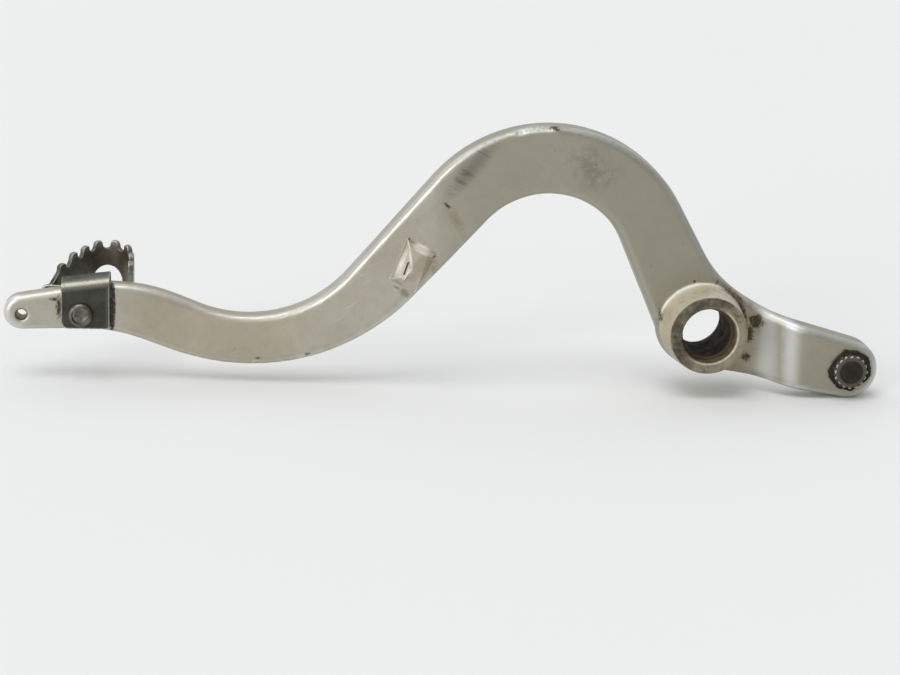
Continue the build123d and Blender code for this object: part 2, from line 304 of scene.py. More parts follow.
# Lever finish: satin alloy with the marks of use, and painted light and shade, where the pedal shows them
leverMarks = {
    "scuff": [
        dict(at=(-88.3, -1.0, 58.6), size=(20.5, 4.0, 4.8), turn=53, ragged=0.9, grain=0.3, soft=0.95),
    ],
    "pepper": [dict(at=(-44.0, -1.0, 58.5), size=(14.0, 4.0, 10.0), turn=-35, grain=0.2, soft=0.9)],
    "smear": [
        dict(at=(-111.4, -0.5, 11.4), size=(3.2, 4.0, 1.8), turn=-35, ragged=1.2, soft=0.7),
        dict(at=(-114.3, -0.5, 13.3), size=(2.4, 4.0, 0.7), turn=-25, soft=0.8),
    ],
    "lug": [dict(at=(-109.4, -3.0, 21.8), size=(11.0, 9.0, 11.0), ragged=0.0, soft=0.2)],
    "lugLights": [
        dict(at=(-105.6, -2.0, 28.3), size=(5.4, 6.0, 1.9), turn=-27, ragged=0.7, soft=0.6),
        dict(at=(-109.8, -3.5, 25.6), size=(4.8, 6.0, 0.8), turn=97, ragged=0.4, grain=0.5, soft=0.9),
        dict(at=(-110.2, -3.5, 19.4), size=(3.0, 6.0, 0.8), turn=63, ragged=0.4, grain=0.5, soft=0.9),
        dict(at=(-113.1, -1.5, 22.7), size=(8.4, 6.0, 1.3), turn=69, ragged=0.4, grain=0.5, soft=0.9),
    ],
    "lugShade": [
        dict(at=(-106.4, -3.0, 22.6), size=(6.4, 6.0, 3.0), turn=63, ragged=0.3, soft=0.6),
        dict(at=(-108.8, -3.0, 17.6), size=(3.4, 6.0, 2.6), turn=63, ragged=0.3, soft=0.6),
    ],
    "crankHighlight": [
        dict(at=(24.6, -4.0, -4.0), size=(5.6, 20.0, 40.0), turn=4, ragged=0.3, grain=0.15, soft=0.9),
        dict(at=(31.6, -10.0, -5.0), size=(5.0, 20.0, 40.0), turn=4, ragged=0.3, grain=0.15),
    ],
    "scrape": [dict(at=(-66.0, 0.0, 72.8), size=(14.0, 5.5, 6.0), grain=0.5, soft=0.6)],
    "tan": [
        dict(at=(-93.4, -1.0, 39.0), size=(10.0, 3.0, 3.0), turn=-60, ragged=1.0, grain=0.4),
        dict(at=(-104.5, -1.0, 20.5), size=(8.0, 4.0, 4.0), turn=60, ragged=0.9, grain=0.3),
        dict(at=(-101.8, -1.5, 22.6), size=(3.6, 5.0, 7.5), turn=28, ragged=0.7, grain=0.4, soft=0.8),
        dict(at=(20.0, -2.0, 2.0), size=(5.0, 6.0, 7.0), grain=0.3),
        dict(at=(-15.0, -1.5, 4.0), size=(3.0, 3.0, 8.0), turn=20, grain=0.3),
        dict(at=(13.0, -2.0, -15.0), size=(6.0, 6.0, 5.0), ragged=1.0, grain=0.4),
    ],
    "dirt": [
        dict(at=(20.4, -2.5, 2.4), size=(4.0, 6.0, 4.4), soft=0.7),
        dict(at=(18.0, -2.5, -2.5), size=(2.8, 6.0, 5.5), soft=0.7),
        dict(at=(17.4, -2.0, -11.3), size=(3.4, 6.0, 3.4)),
        dict(at=(12.5, -1.5, 12.2), size=(8.0, 4.0, 1.6), turn=-48),
        dict(at=(-16.0, -1.5, 4.2), size=(1.7, 3.0, 4.6), turn=8),
        dict(at=(4.7, -1.0, 17.0), size=(1.3, 2.0, 1.5)),
        dict(at=(-4.0, -1.0, 17.3), size=(1.0, 2.0, 1.1)),
        dict(at=(-236.9, 7.0, 3.0), size=(1.8, 2.4, 7.0), soft=0.9),
        dict(at=(-238.6, 7.0, 5.8), size=(3.4, 2.0, 1.4), turn=-8),
        # a dark band along the saddle's right edge, partly dirt and partly painted shadow of the saddle
        dict(at=(-217.7, 8.0, 3.4), size=(1.7, 4.5, 13.0), ragged=0.5, grain=0.5, soft=0.4),
        dict(at=(-110.2, -1.0, 31.8), size=(1.5, 3.0, 0.9)),
        dict(at=(-101.0, -1.0, 25.5), size=(1.2, 3.0, 1.2)),
        dict(at=(-58.2, 0.3, 73.4), size=(3.6, 3.0, 2.2)),
        dict(at=(-146.4, 3.0, -13.0), size=(2.4, 2.4, 1.0), turn=20),
        dict(at=(-164.4, 5.0, -15.2), size=(1.6, 2.4, 0.9)),
        dict(at=(-97.0, -1.0, 44.5), size=(3.2, 2.0, 1.1), turn=-40),
    ],
}
leverTones = {
    "bare": (186, 182, 169),
    "cloud": (176, 170, 155),
    "warm": (174, 163, 142),
    "rearwardShade": (156, 152, 136),
    "blotch": (152, 147, 132),
    "wallShadedLow": (176, 165, 140),
    "wallLitHigh": (206, 197, 174),
    "wallBlotch": (158, 148, 124),
    "rimHighlight": (236, 229, 213),
    "lug": (186, 180, 163),
    "lugShade": (162, 150, 129),
    "lugLight": (234, 229, 214),
    "slit": (56, 52, 44),
    "crankHighlight": (200, 202, 202),
    "edge": (228, 230, 229),
    "tipHole": (98, 82, 64),
    "scrapeBright": (214, 215, 212),
    "scrapeDull": (168, 167, 158),
    "rub": (88, 88, 84),
    "pepper": (78, 77, 70),
    "stray": (112, 102, 80),
    "smear": (132, 126, 110),
    "tan": (146, 128, 96),
    "halo": (116, 100, 70),
    "soil": (28, 25, 19),
    "brownSoil": (66, 50, 29),
    "mouth": (142, 135, 113),
    "mouthDark": (46, 38, 27),
    "rust": (104, 90, 62),
    "rustDark": (56, 44, 28),
    "lipShine": (206, 200, 182),
}
leverZones = {
    "warmFront": ("x", -222.0, -200.0),
    "warmRear": ("x", -138.0, -166.0),
    "rearwardShadeArch": ("x", -112.0, -84.0),
    "rearwardShadeLeg": ("x", -55.0, -30.0),
    "wallRadius": ("radius", 18.0, 17.0),
    "wallNear": ("y", -1.3, -2.4),
    "wallLightHeight": ("z", 2.0, 14.0),
    "rimNear": ("y", -1.02, -1.3),
    "rimLeft": ("leftUp", 3.0, 12.0),
    "lugNear": ("y", -1.05, -1.35),
    "lugLightNear": ("y", 0.1, -0.3),
    "slitShadeBend": ("bend", -0.023, -0.1),
    "edgeBend": ("bend", 0.023, 0.086),
    "edgeBoss": ("radius", 17.0, 19.0),
    "edgeArch": ("archOut", 41.0, 47.0),
    "edgeTip": ("tipOut", 2.4, 4.0),
    "tipHole": ("tipOut", 2.5, 2.1),
    "flatFront": ("x", -82.0, -76.0),
    "flatRear": ("x", -50.0, -56.0),
    "scrapeFar": ("y", 4.6, 3.2),
    "scrapeNear": ("y", -0.9, -0.4),
    "creaseNear": ("y", -4.5, -1.8),
    "creaseRight": ("x", 2.0, 11.0),
    "creaseHigh": ("z", -13.0, -3.0),
    "brownRear": ("x", -200.0, -160.0),
    "mouthNear": ("y", -14.0, -14.7),
    "mouthRadius": ("radius", 15.4, 14.3),
    "mouthDark": ("rightDown", 14.0, -10.0),
    "bore": ("radius", 10.6, 10.1),
    "lipNear": ("y", -13.4, -14.2),
    "lipLow": ("rightDown", -4.0, 4.0),
}
leverLook = {
    "fine": 1.6,
    "cloud": 0.045,
    "rings": {"rimHighlight": (17.0, 1.7, 0.4), "crease": (16.4, 1.7, 0.2), "lipShine": (10.75, 0.5, 0.15)},
    "tones": leverTones,
    "zones": leverZones,
    "marks": leverMarks,
}


def startLever():
    at = startFinish("satinAlloy", leverLook)
    at.radius = axisDistance(at.tree, at.place, 0, 0)
    at.archOut = axisDistance(at.tree, at.place, *lever["archCentre"])
    at.tipOut = axisDistance(at.tree, at.place, lever["tipX"], 0)
    at.leftUp = calc(at.tree, "SUBTRACT", at.z, product(at.tree, at.x, 0.6))
    at.rightDown = calc(at.tree, "SUBTRACT", at.x, product(at.tree, at.z, 0.7))
    at.fine = noiseAt(at.tree, at.place, 0.85, 5.0, 0.7)
    at.blotch = noiseAt(at.tree, at.place, 0.3, 5.0, 0.65)
    return at


def layBareAlloy(at):
    at.color = blend(at, at.cloud, "bare", "cloud")
    paint(at, "warm", fade(at, "warmFront"), fade(at, "warmRear"), 0.6)
    # painted shade: the colour darkens from the arch rearwards, for the light's fall-off from the left
    rearwardShade = calc(at.tree, "ADD", fade(at, "rearwardShadeArch", 0.0, 0.6), fade(at, "rearwardShadeLeg", 0.0, 0.25))
    paint(at, "rearwardShade", rearwardShade)
    paint(at, "blotch", spread(at.tree, at.blotch, 0.42, 0.7, 0.0, 0.22))


def layForgedSkin(at):
    # chalky skin on the boss wall with painted light, lighter towards its top, and a painted highlight
    # round its foot
    tree = at.tree
    wall = product(tree, fade(at, "wallRadius"), fade(at, "wallNear"))
    paint(at, blend(at, fade(at, "wallLightHeight"), "wallShadedLow", "wallLitHigh"), wall, 0.85)
    paint(at, "wallBlotch", wall, spread(tree, at.blotch, 0.45, 0.65, 0.0, 0.5))
    rimHighlight = product(tree, ringAt(at, "rimHighlight"), fade(at, "rimNear"), fade(at, "rimLeft"))
    paint(at, "rimHighlight", rimHighlight, 0.85)

    # the lug with painted shade on its facets, painted highlights on its edges and top and painted shade
    # in its slit, then painted highlights on the arm's crank
    raised = product(tree, marked(at, "lug"), fade(at, "lugNear"))
    paint(at, "lug", raised, 0.8)
    paint(at, "lugShade", marked(at, "lugShade"), raised, 0.75)
    light = product(tree, marked(at, "lugLights"), fade(at, "lugLightNear"))
    paint(at, "lugLight", light, 0.9)
    paint(at, "slit", fade(at, "slitShadeBend"), spread(tree, raised, 0.8, 1.0), 0.7)
    crankHighlight = marked(at, "crankHighlight")
    paint(at, "crankHighlight", crankHighlight, 0.7)
    chalky = [product(tree, wall, 0.75), rimHighlight, light, product(tree, raised, 0.9), product(tree, crankHighlight, 0.5)]
    return raised, unionMask(tree, chalky)


def layWornAndHighlitEdges(at, raised):
    # bright edges, worn and painted as highlights, less so on the lug, inside the arch and by the scraped
    # flat, and none at the tip hole
    tree = at.tree
    flat = product(tree, fade(at, "flatFront"), fade(at, "flatRear"))
    edge = product(
        tree, fade(at, "edgeBend"), fade(at, "edgeBoss"), spread(tree, raised, 0.0, 1.0, 1.0, 0.6),
        fade(at, "edgeArch", 0.2, 1.0), spread(tree, flat, 0.0, 1.0, 1.0, 0.35), fade(at, "edgeTip"),
    )
    paint(at, "edge", edge, 0.9)
    paint(at, "tipHole", fade(at, "tipHole", 0.0, 0.8))
    scraped = blend(at, spread(tree, at.fine, 0.35, 0.6), "scrapeBright", "scrapeDull")
    paint(at, scraped, marked(at, "scrape"), fade(at, "scrapeFar"), fade(at, "scrapeNear"), 0.75)
    return edge


def layRubMarks(at):
    # grey rub band with cross ribs, then the peppered place on the other side of the arch
    tree = at.tree
    ribs = scratchesAt(at, -25, (0.1, 0.3, 0.8), 0.85)
    rubbed = product(tree, marked(at, "scuff"), spread(tree, ribs, 0.0, 1.0, 0.6, 1.0))
    paint(at, "rub", rubbed, 0.75)
    smudge = spread(tree, at.blotch, 0.42, 0.62, 0.05, 0.3)
    dots = calc(tree, "ADD", product(tree, specksAt(at, 0.9, 0.55), 0.45), smudge)
    paint(at, "pepper", marked(at, "pepper"), dots)
    paint(at, "stray", specksAt(at, 0.62, 0.26), 0.5)
    paint(at, "smear", marked(at, "smear"), 0.75)
    return rubbed


def layDirt(at):
    # tan film first, then dark dirt whose coverage grows with its patch
    tree = at.tree
    paint(at, "tan", marked(at, "tan"), spread(tree, at.fine, 0.3, 0.65, 0.2, 0.7))
    side = product(tree, fade(at, "creaseRight"), fade(at, "creaseHigh"))
    side = spread(tree, side, 0.0, 1.0, 0.12, 1.0)
    crease = product(tree, ringAt(at, "crease", 0.85), fade(at, "creaseNear"), side)
    dense = calc(tree, "MAXIMUM", crease, marked(at, "dirt"))
    level = calc(tree, "ADD", at.fine, product(tree, dense, 0.42))
    paint(at, "halo", spread(tree, level, 0.56, 0.8, 0.0, 0.65), spread(tree, dense, 0.0, 0.3))
    brown = product(tree, spread(tree, at.blotch, 0.42, 0.58), fade(at, "brownRear"))
    dirt = spread(tree, level, 0.72, 0.92)
    paint(at, blend(at, brown, "soil", "brownSoil"), dirt, 0.9)
    return dirt


def layBossMouth(at):
    # mottled face, darkest at the upper left, a rusty bore, and a patchy painted highlight on the eased
    # edge low on the right
    tree = at.tree
    mouth = product(tree, fade(at, "mouthNear"), fade(at, "mouthRadius"))
    mottle = calc(tree, "ADD", product(tree, at.blotch, 0.65), product(tree, at.fine, 0.35))
    dark = calc(tree, "ADD", fade(at, "mouthDark", 0.0, 0.22), mottle)
    paint(at, blend(at, spread(tree, dark, 0.42, 0.84), "mouth", "mouthDark"), mouth, 0.93)
    bore = fade(at, "bore")
    paint(at, blend(at, spread(tree, at.blotch, 0.35, 0.65), "rust", "rustDark"), bore, 0.95)
    wearAndShine = spread(tree, at.fine, 0.3, 0.55, 0.9, 0.5)
    lipShine = product(tree, ringAt(at, "lipShine"), fade(at, "lipNear"), fade(at, "lipLow"), wearAndShine)
    paint(at, "lipShine", lipShine)
    return mouth, bore, lipShine


def makeAlloyFinish():
    at = startLever()
    tree = at.tree
    layBareAlloy(at)
    raised, chalk = layForgedSkin(at)
    edge = layWornAndHighlitEdges(at, raised)
    rubbed = layRubMarks(at)
    dirt = layDirt(at)
    mouth, bore, lipShine = layBossMouth(at)
    grime = unionMask(tree, [dirt, product(tree, mouth, 0.75), bore])
    grime = product(tree, grime, calc(tree, "SUBTRACT", 1.0, lipShine))
    metallic = mixValue(tree, grime, mixValue(tree, chalk, 0.85, 0.2), 0.1)
    rough = mixValue(tree, edge, mixValue(tree, at.cloud, 0.43, 0.5), 0.34)
    rough = mixValue(tree, calc(tree, "MAXIMUM", grime, rubbed), rough, 0.7)
    scratch = scratchesAt(at, 35, (0.06, 0.3, 2.2), 0.4)
    height = calc(tree, "SUBTRACT", at.skin, product(tree, scratch, 0.6))
    height = calc(tree, "ADD", height, product(tree, grime, at.fine, 2.0))
    return endFinish(at, metallic, rough, height, 0.45, 0.12)


# Toe finish, for the saddle and the tread: dark worn sheet
toeLook = {
    "fine": 2.4,
    "cloud": 0.16,
    "foldShare": (0.95, 0.2),
    "rightEdge": (1.8, 0.6),
    "tipDrop": (7.4, 5.2),  # below the tip height, with the tread's slope carried back to y = 0
    "tones": {
        "sheet": (70, 70, 63),
        "sheetCloud": (54, 53, 46),
        "strip": (110, 110, 101),
        "stripCloud": (86, 84, 74),
        "inner": (98, 80, 66),
        "specks": (34, 30, 25),
        "wearAndShine": (172, 170, 162),
        "edge": (190, 188, 180),
        "footHighlight": (204, 202, 194),
        "fold": (148, 147, 135),
    },
    "zones": {"strip": ("y", 18.2, 19.2), "near": ("y", 10.5, 9.0), "edge": ("bend", 0.03, 0.13)},
    "marks": {
        "inner": [
            dict(at=(-216.0, 32.0, 14.0), size=(11.0, 14.0, 12.0), ragged=1.0, grain=0.25, soft=0.9)
        ],
        "footHighlight": [dict(at=(-211.8, 21.0, 8.0), size=(3.4, 8.0, 9.0), ragged=0.35, grain=0.2)],
    },
}


def saddleWearAndHighlight(at, fine):
    # wear with a painted highlight: the near fold, and more faintly the near leg's right edge
    tree, near = at.tree, fade(at, "near")
    lean = calc(tree, "SUBTRACT", at.x, saddle["topX"])
    lean = product(tree, lean, math.tan(math.radians(saddle["tilt"])))
    corner = calc(tree, "SUBTRACT", calc(tree, "ADD", at.y, at.z), lean)
    limits = [saddle["fold"] * share for share in toeLook["foldShare"]]
    fold = bandMask(tree, corner, saddle["nearFace"] + saddle["topZ"], *limits)
    fold = product(tree, fold, near, spread(tree, fine, 0.2, 0.6, 0.55, 0.9))
    edge = spread(tree, at.x, *(saddle["topX"] - inset for inset in toeLook["rightEdge"]))
    return calc(tree, "MAXIMUM", fold, product(tree, edge, near, 0.18))


def makeToeFinish():
    at = startFinish("darkToeSteel", toeLook)
    tree = at.tree
    fine = noiseAt(tree, at.place, 1.0, 4.0, 0.65)
    strip, footHighlight, rubbed = fade(at, "strip"), marked(at, "footHighlight"), saddleWearAndHighlight(at, fine)
    at.color = blend(at, at.cloud, "sheet", "sheetCloud")
    # painted light: the strip is lighter than the saddle's sheet, for the light it gets from above
    paint(at, blend(at, at.cloud, "strip", "stripCloud"), strip)
    paint(at, "inner", marked(at, "inner"), spread(tree, fine, 0.3, 0.6, 0.4, 0.9))
    paint(at, "specks", specksAt(at, 1.1, 0.45), 0.5)

    # edges are worn bright with painted highlights on them, on the strip most of all at the tooth tips,
    # and its rear foot has a pale painted highlight
    tall = calc(tree, "SUBTRACT", at.z, product(tree, at.y, math.tan(math.radians(tread["rise"]))))
    tips = spread(tree, tall, *(tread["tipZ"] - drop for drop in toeLook["tipDrop"]))
    patchy = spread(tree, noiseAt(tree, at.place, 0.7), 0.25, 0.6, 0.4, 1.0)
    teeth = mixValue(tree, strip, 1.0, spread(tree, tips, 0.0, 1.0, 0.45, 1.0))
    edge = product(tree, fade(at, "edge"), patchy, teeth)
    paint(at, "wearAndShine", tips, strip, spread(tree, fine, 0.35, 0.6, 0.6, 0.2))
    paint(at, "edge", edge)
    paint(at, "footHighlight", footHighlight)
    paint(at, "fold", rubbed)
    edge = calc(tree, "MAXIMUM", edge, rubbed)
    metallic = mixValue(tree, footHighlight, mixValue(tree, edge, 0.6, 1.0), 0.15)
    rough = mixValue(tree, edge, mixValue(tree, at.cloud, 0.34, 0.46), 0.3)
    scratch = scratchesAt(at, 80, (0.1, 0.4, 2.5), 0.5)
    height = calc(tree, "SUBTRACT", at.skin, product(tree, scratch, 0.7))
    return endFinish(at, metallic, rough, height, 0.35, 0.1)


# Small finishes: rivet, rear pin and bush
rivetLook = {
    "fine": 2.6,
    "cloud": 0.3,
    "tones": {"head": (124, 122, 113), "cloud": (88, 86, 78), "hollowShade": (32, 29, 25)},
    "zones": {"hollowShade": ("bend", -0.02, -0.1)},
}
pinLook = {
    "fine": 1.8,
    "cloud": 0.35,
    "tones": {
        "dark": (34, 30, 26),
        "brown": (56, 45, 34),
        "ring": (86, 83, 74),
        "disc": (48, 44, 39),
        "discCloud": (37, 33, 28),
        "crest": (214, 212, 206),
    },
    "zones": {
        "ringOut": ("radius", 6.5, 6.0),
        "ringIn": ("radius", 4.2, 4.6),
        "disc": ("radius", 4.3, 4.0),
        "crestIn": ("radius", 5.2, 5.7),
        "crestOut": ("radius", 6.9, 6.5),
        "crest": ("bend", 0.04, 0.16),
    },
}
bushLook = {
    "fine": 0.9,
    "cloud": 0.2,
    "tones": {"grease": (47, 35, 19), "cloud": (28, 21, 11), "mouth": (84, 74, 52)},
    "zones": {"mouth": ("y", -9.6, -10.4)},
}


def makeRivetFinish():
    at = startFinish("dullRivetSteel", rivetLook)
    at.color = blend(at, at.cloud, "head", "cloud")
    # painted shade in the head's hollows and its set mark
    paint(at, "hollowShade", fade(at, "hollowShade"))
    return endFinish(at, 1.0, mixValue(at.tree, at.cloud, 0.32, 0.5), at.skin, 0.45, 0.12)


def makePinFinish():
    at = startFinish("blackPinSteel", pinLook)
    tree = at.tree
    at.radius = axisDistance(tree, at.place, pin["x"], pin["z"])
    fine = noiseAt(tree, at.place, 1.1, 4.0, 0.65)
    at.color = blend(at, spread(tree, fine, 0.4, 0.62), "dark", "brown")
    paint(at, "ring", fade(at, "ringOut"), fade(at, "ringIn"))
    paint(at, blend(at, at.cloud, "disc", "discCloud"), fade(at, "disc"))
    # painted highlight on the knurl crests
    crest = product(tree, fade(at, "crest"), fade(at, "crestIn"), fade(at, "crestOut"))
    paint(at, "crest", crest)
    at.bsdf["Specular IOR Level"].default_value = 0.25
    metallic, rough = mixValue(tree, crest, 0.3, 1.0), mixValue(tree, crest, 0.62, 0.28)
    return endFinish(at, metallic, rough, calc(tree, "ADD", at.skin, fine), 0.6, 0.2)


def makeBushFinish():
    at = startFinish("greasyBushSteel", bushLook)
    at.color = blend(at, at.cloud, "grease", "cloud")
    paint(at, "mouth", fade(at, "mouth", 0.0, 0.9))
    at.bsdf["Specular IOR Level"].default_value = 0.05
    return endFinish(at, 0.0, mixValue(at.tree, at.cloud, 0.5, 0.75), at.skin, 0.4, 0.15)


# Mesh helpers: a shape is fused into one skin of small faces, softened, worn, and marked where it bends
def cadCopy(node):
    shape = bmesh.new()
    shape.from_mesh(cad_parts[node].data)
    bmesh.ops.remove_doubles(shape, verts=shape.verts, dist=weldGap)
    return shape


def relax(shape, verts, rounds, side=True, across=True):
    # side moves points within the side view, across moves them along Y
    for _ in range(rounds):
        bmesh.ops.smooth_vert(
            shape, verts=verts, factor=0.5, use_axis_x=side, use_axis_y=across, use_axis_z=side
        )


def fuse(shape, name, sizes):
    mesh = bpy.data.meshes.new(name)
    shape.to_mesh(mesh)
    shape.free()
    piece = bpy.data.objects.new(name, mesh)
    bpy.context.scene.collection.objects.link(piece)
    skin = piece.modifiers.new("skin", "REMESH")
    skin.mode = "VOXEL"
    skin.voxel_size = sizes["voxel"] * mm
    fused = bpy.data.meshes.new_from_object(piece.evaluated_get(bpy.context.evaluated_depsgraph_get()))
    piece.modifiers.clear()
    soft = bmesh.new()
    soft.from_mesh(fused)
    relax(soft, soft.verts, sizes["rounds"])
    soft.to_mesh(fused)
    soft.free()
    fused.name = name
    piece.data = fused
    bpy.data.meshes.remove(mesh)
    return piece


def readVectors(items, field):
    values = np.empty(len(items) * 3, np.float32)
    items.foreach_get(field, values)
    return values.reshape(-1, 3).astype(float)


def spotsOf(piece):
    return readVectors(piece.data.vertices, "co") / mm, readVectors(piece.data.vertex_normals, "vector")


def placeSpots(piece, spots):
    piece.data.vertices.foreach_set("co", (spots * mm).astype(np.float32).ravel())
    piece.data.update()


def cloudAt(spots, size, seed=0.0):
    return np.array([noise.noise(Vector(spot) / size + Vector((seed, seed, seed))) for spot in spots])


def roughen(spots, normals, amount, size, seed=0.0):
    spots += normals * (amount * cloudAt(spots, size, seed))[:, None]


def dent(spots, normals, mark):
    x, y, z, radius, depth = mark
    reach = np.linalg.norm(spots - np.array((x, y, z)), axis=1) / radius
    spots -= normals * (np.clip(1 - reach**2, 0, None) ** 2 * depth)[:, None]


def markBends(piece, rounds, lowShare):
    # positive on outer edges, less so where they face down, negative in corners; with the lesser share
    # where they face down, bright edge colour drawn from it is partly a painted highlight from above
    spots, normals = spotsOf(piece)
    pairs = np.empty(len(piece.data.edges) * 2, np.int32)
    piece.data.edges.foreach_get("vertices", pairs)
    first, second = pairs.reshape(-1, 2).T
    step = spots[second] - spots[first]
    step /= np.linalg.norm(step, axis=1)[:, None] + 1e-9
    bend = np.zeros(len(spots))
    np.add.at(bend, first, -(step * normals[first]).sum(1))
    np.add.at(bend, second, (step * normals[second]).sum(1))
    near = np.bincount(pairs, minlength=len(spots)) + 1e-9
    bend /= near
    for _ in range(rounds):
        total = np.zeros(len(spots))
        np.add.at(total, first, bend[second])
        np.add.at(total, second, bend[first])
        bend = (bend + total / near) / 2
    up = ((normals[:, 2] + 0.1) / 0.45).clip(0, 1)
    bend *= np.where(bend > 0, lowShare + (1 - lowShare) * up, 1)
    marks = piece.data.attributes.new("bend", "FLOAT", "POINT")
    marks.data.foreach_set("value", bend.astype(np.float32))


def dress(piece, finish, node, rounds=2, lowShare=1.0):
    markBends(piece, rounds, lowShare)
    piece.data.materials.clear()
    piece.data.materials.append(finish)
    piece.data.shade_smooth()
    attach(piece, "root")
    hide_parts(node)
    print(piece.name, "faces:", len(piece.data.polygons))
    return piece


def spinShape(profile, x, z, steps):
    # profile is radius and y, spun about an axis along Y
    shape = bmesh.new()
    ring = [shape.verts.new((x * mm + r * mm, y * mm, z * mm)) for r, y in profile]
    edges = [shape.edges.new(pair) for pair in zip(ring, ring[1:])]
    bmesh.ops.spin(
        shape, geom=ring + edges, cent=(x * mm, 0, z * mm), axis=(0, 1, 0),
        angle=math.radians(360), steps=steps, use_merge=True,
    )
    bmesh.ops.remove_doubles(shape, verts=shape.verts, dist=weldGap)
    bmesh.ops.recalc_face_normals(shape, faces=shape.faces)
    return shape


# Lever: the forging's own shape, softened as if blasted, with its knocks and a crisply cut stop lug
lever = {
    "voxel": 0.67,
    "rounds": 2,
    "wave": 0.07,
    "waveSize": 13.0,
    "lowShare": 0.85,
    "tipX": -250.5,
    "nicks": [  # place, radius and depth
        (-164.7, 5.6, -17.9, 1.6, 0.3),
        (-146.7, 4.0, -15.4, 2.0, 0.5),
        (-36.6, -0.6, 69.6, 1.3, 0.4),
        (-57.6, -0.4, 49.2, 1.2, 0.8),
    ],
    "archCentre": (-59.0, 18.5),
    "archRadius": 55.5,
    "nearFace": -1.0,
    "scrapeX": (-72.0, -59.5),
    "scrapeFade": 6.0,
    "scrapeReach": -2.1,
    "scrapeRise": 2.0,
    "scrapeStop": 1.5,
    "scrapeLow": 60.0,
    "scrapeWave": 0.25,
    "scrapeWaveSize": 3.0,
}
lug = {
    "x": -109.4,
    "z": 21.8,
    "turn": 63.0,
    "halfLength": 8.3,
    "halfWidth": 6.1,
    "reach": 3.6,
    # ridge, leftFoot, leftSlope and flank pair a place along the lug with the value there
    "ridge": ((-8.3, -0.4), (-0.3, -0.3), (6.8, 4.6)),
    "step": 0.35,
    "stepWidth": 0.4,
    "shelfSlope": 0.3,
    "facetSlope": 0.16,
    "lowerSlope": 0.42,
    "lowerStart": -0.3,
    "leftFoot": ((-8.3, 4.2), (8.3, 5.9)),
    "leftSlope": ((-8.3, 0.95), (0.0, 1.3), (6.6, 2.7)),
    "flank": ((-1.0, 1.8), (6.4, 0.8)),
    "topSlope": 1.9,
    "footSlope": 1.0,
    "slit": ((0.9, 1.65), (-3.5, 0.95)),
    "slitWidth": 0.4,
    "slitDepth": 1.2,
    "margin": 3.4,
    "ringStart": 0.5,
    "ringFacing": -0.985,
    "footEdge": 0.2,
    "depths": (0.6, 0.03),
    "cuts": 3,
    "evenRounds": 24,
    "easeRounds": 4,
}


def scrapeArch(spots):
    # flat rubbed along the near edge at the top of the arch
    outward = spots[:, [0, 2]] - np.array(lever["archCentre"])
    out = np.hypot(*outward.T)
    proud = out - lever["archRadius"] - (spots[:, 1] - lever["nearFace"])
    left, right = lever["scrapeX"]
    past = np.maximum(left - spots[:, 0], spots[:, 0] - right).clip(0) / lever["scrapeFade"]
    wave = lever["scrapeWave"] * cloudAt(spots, lever["scrapeWaveSize"], seed=4.0)
    limit = lever["scrapeReach"] + past * lever["scrapeRise"] + wave
    rubbed = (past < lever["scrapeStop"]) & (spots[:, 2] > lever["scrapeLow"])
    over = np.where(rubbed, (proud - limit).clip(0), 0) / 2
    spots[:, 1] += over
    spots[:, [0, 2]] -= outward / out[:, None] * over[:, None]


def lugPlace(spots):
    # along and across the lug, seen from the near side, and how far outside its foot
    turn = math.radians(lug["turn"])
    dx, dz = spots[:, 0] - lug["x"], spots[:, 2] - lug["z"]
    along = dx * math.cos(turn) + dz * math.sin(turn)
    across = dz * math.cos(turn) - dx * math.sin(turn)
    return along, across, np.maximum(np.abs(along) - lug["halfLength"], np.abs(across) - lug["halfWidth"])


def lugTerms(along, across):
    return np.column_stack([np.ones(len(along)), along, across, along**2, along * across, across**2])


def lugBase(piece):
    # the gently bent near face round the lug
    spots, normals = spotsOf(piece)
    along, across, over = lugPlace(spots)
    ring = (over > lug["ringStart"]) & (over < lug["margin"]) & (normals[:, 1] < lug["ringFacing"])
    return np.linalg.lstsq(lugTerms(along[ring], across[ring]), spots[ring, 1], rcond=None)[0]


def lugSpots(spots, base):
    # the near face's points on the lug and round it, taken deeper on the lug itself
    along, across, over = lugPlace(spots)
    deep = lugTerms(along, across) @ base + np.where(over < lug["footEdge"], *lug["depths"])
    return (over < lug["margin"]) & (spots[:, 1] < deep)


def lugLine(along, name):
    return np.interp(along, *zip(*lug[name]))


def lugHeight(along, across):
    # shelf on the left with a slit, a broken ridge, facets to its right, and sloped sides
    past = lugLine(along, "ridge") - across
    shelf = lug["reach"] - lug["step"] * np.clip(-past / lug["stepWidth"], 0, 1) + lug["shelfSlope"] * past
    lower = lug["lowerSlope"] * np.clip(lug["lowerStart"] - along, 0, None)
    facet = lug["reach"] - lug["facetSlope"] * past - lower
    tall = np.where(past > 0, facet, shelf)
    (x1, z1), (x2, z2) = lug["slit"]
    share = ((along - x1) * (x2 - x1) + (across - z1) * (z2 - z1)) / ((x2 - x1) ** 2 + (z2 - z1) ** 2)
    share = share.clip(0, 1)
    gap = np.hypot(along - x1 - share * (x2 - x1), across - z1 - share * (z2 - z1))
    tall -= lug["slitDepth"] * np.clip(1 - (gap / lug["slitWidth"]) ** 2, 0, None)
    sides = [
        (lugLine(along, "leftFoot") - across) * lugLine(along, "leftSlope"),
        (lug["halfWidth"] + across) * lugLine(along, "flank"),
        (lug["halfLength"] - along) * lug["topSlope"],
        (lug["halfLength"] + along) * lug["footSlope"],
    ]
    return np.minimum.reduce([tall] + sides).clip(0)


